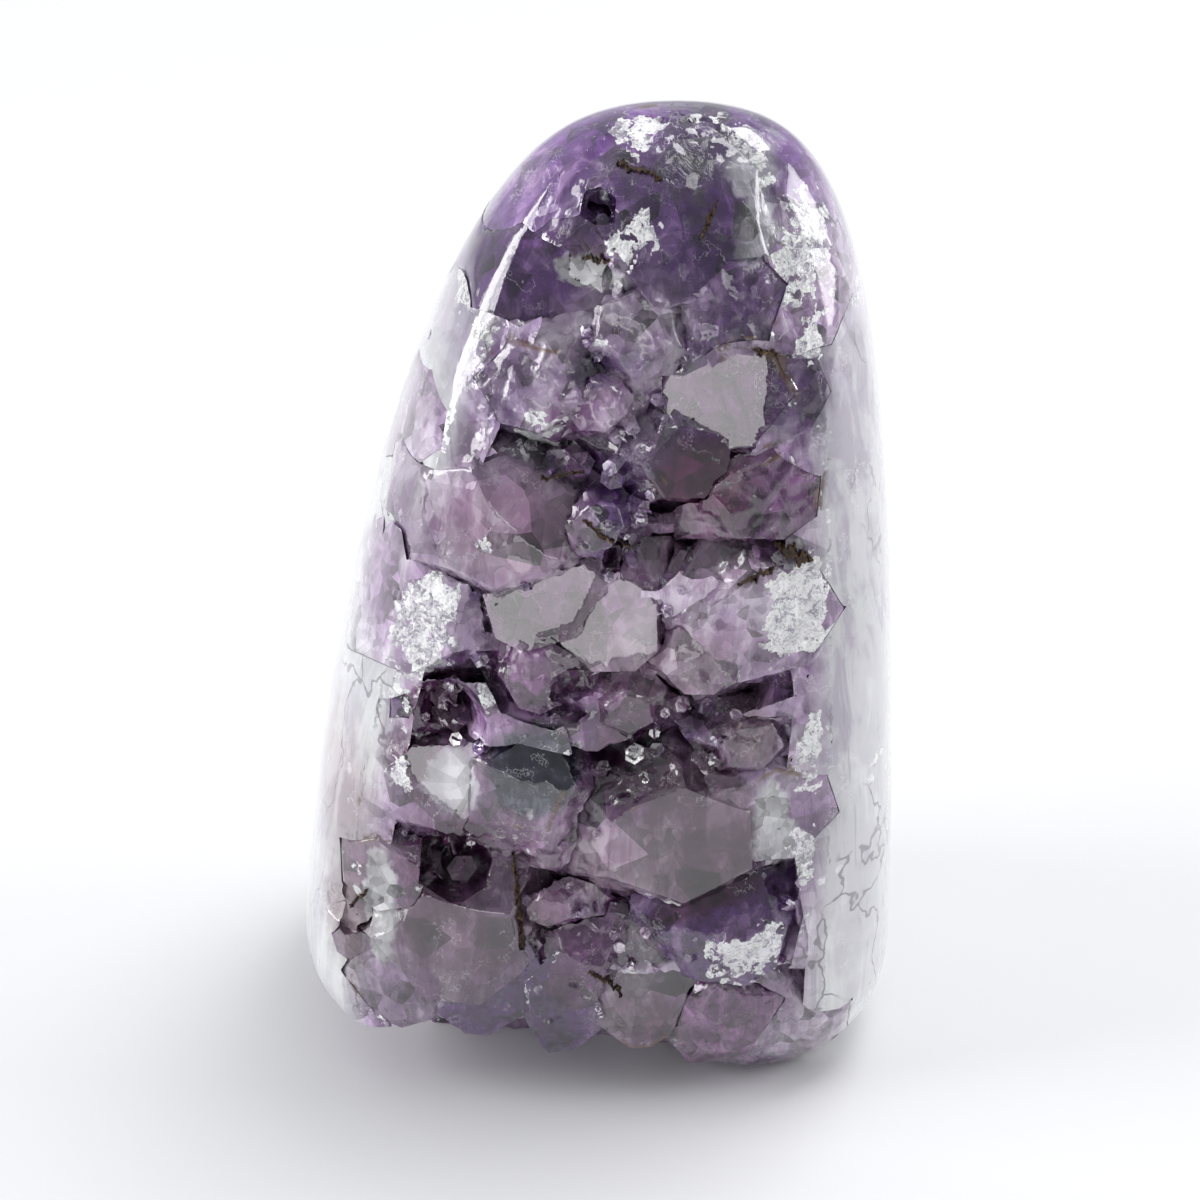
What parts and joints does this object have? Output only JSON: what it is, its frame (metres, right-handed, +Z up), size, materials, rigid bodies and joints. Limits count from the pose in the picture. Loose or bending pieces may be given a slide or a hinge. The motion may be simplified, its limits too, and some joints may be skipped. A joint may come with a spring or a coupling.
{
  "type": "amethyst cluster",
  "caption": "Tall free-standing amethyst cluster, quartz crystals set in an intergrown mass, ground and polished to a rounded form with a sawn base.",
  "frame": {"origin": "middle of the bounding box, on the plane of the sawn base", "axes": "+Z up along the height, the crystal side faces -Y, +X to the right as seen from the crystal side"},
  "size_m": [0.0668, 0.0514, 0.11],
  "materials": {
    "polished_amethyst": "polished intergrown amethyst and milky quartz, glossy, with white fractures, violet zones and rusty cracks",
    "deep_amethyst": "deep purple translucent quartz crystal, glossy",
    "violet_amethyst": "violet translucent quartz crystal, glossy, with streaks and white fractures",
    "mauve_amethyst": "mauve translucent quartz crystal, glossy, with colour zones and fractures",
    "lilac_amethyst": "pale lilac cloudy quartz crystal with white feathery fractures, glossy",
    "clear_quartz": "clear to smoky grey-lilac quartz crystal with polished windows"
  },
  "bodies": {
    "root": {"polished_mass": "polished_amethyst", "great_crystal": "mauve_amethyst", "window_crystal": "clear_quartz", "magenta_crystal": "violet_amethyst", "lilac_crystal": "lilac_amethyst", "left_clear_crystal": "clear_quartz", "pentagon_crystal": "clear_quartz", "slate_crystal": "clear_quartz", "pale_shoulder_crystal": "lilac_amethyst", "chevron_left_crystal": "mauve_amethyst", "chevron_right_crystal": "mauve_amethyst", "white_flank_crystal": "lilac_amethyst", "right_flank_crystal": "lilac_amethyst", "heart_crystal": "mauve_amethyst", "ember_crystal": "mauve_amethyst", "cavity_crystal": "deep_amethyst", "middle_crystal": "violet_amethyst", "right_ledge_crystal": "lilac_amethyst", "mauve_step_crystal": "mauve_amethyst", "fractured_crystal": "violet_amethyst", "right_strip_crystal": "clear_quartz", "rusty_crystal": "clear_quartz", "band_crystal": "violet_amethyst", "lens_crystal": "clear_quartz", "shoulder_crystal": "lilac_amethyst", "left_facet_crystal": "violet_amethyst", "cloudy_crystal": "lilac_amethyst", "mauve_crown_crystal": "mauve_amethyst", "violet_ridge_crystal": "violet_amethyst", "feather_crystal": "clear_quartz", "gable_crystal": "clear_quartz", "cap_left_crystal": "lilac_amethyst", "cap_crystal": "deep_amethyst", "left_ledge_crystal": "lilac_amethyst", "pocket_crystal": "mauve_amethyst", "lip_crystal": "lilac_amethyst", "root_crystal": "mauve_amethyst", "drop_crystal": "mauve_amethyst", "grey_drop_crystal": "clear_quartz", "striped_crystal": "mauve_amethyst", "corner_crystal": "lilac_amethyst", "hanging_crystal": "violet_amethyst", "left_hanging_crystal": "violet_amethyst"}
  },
  "joints": []
}
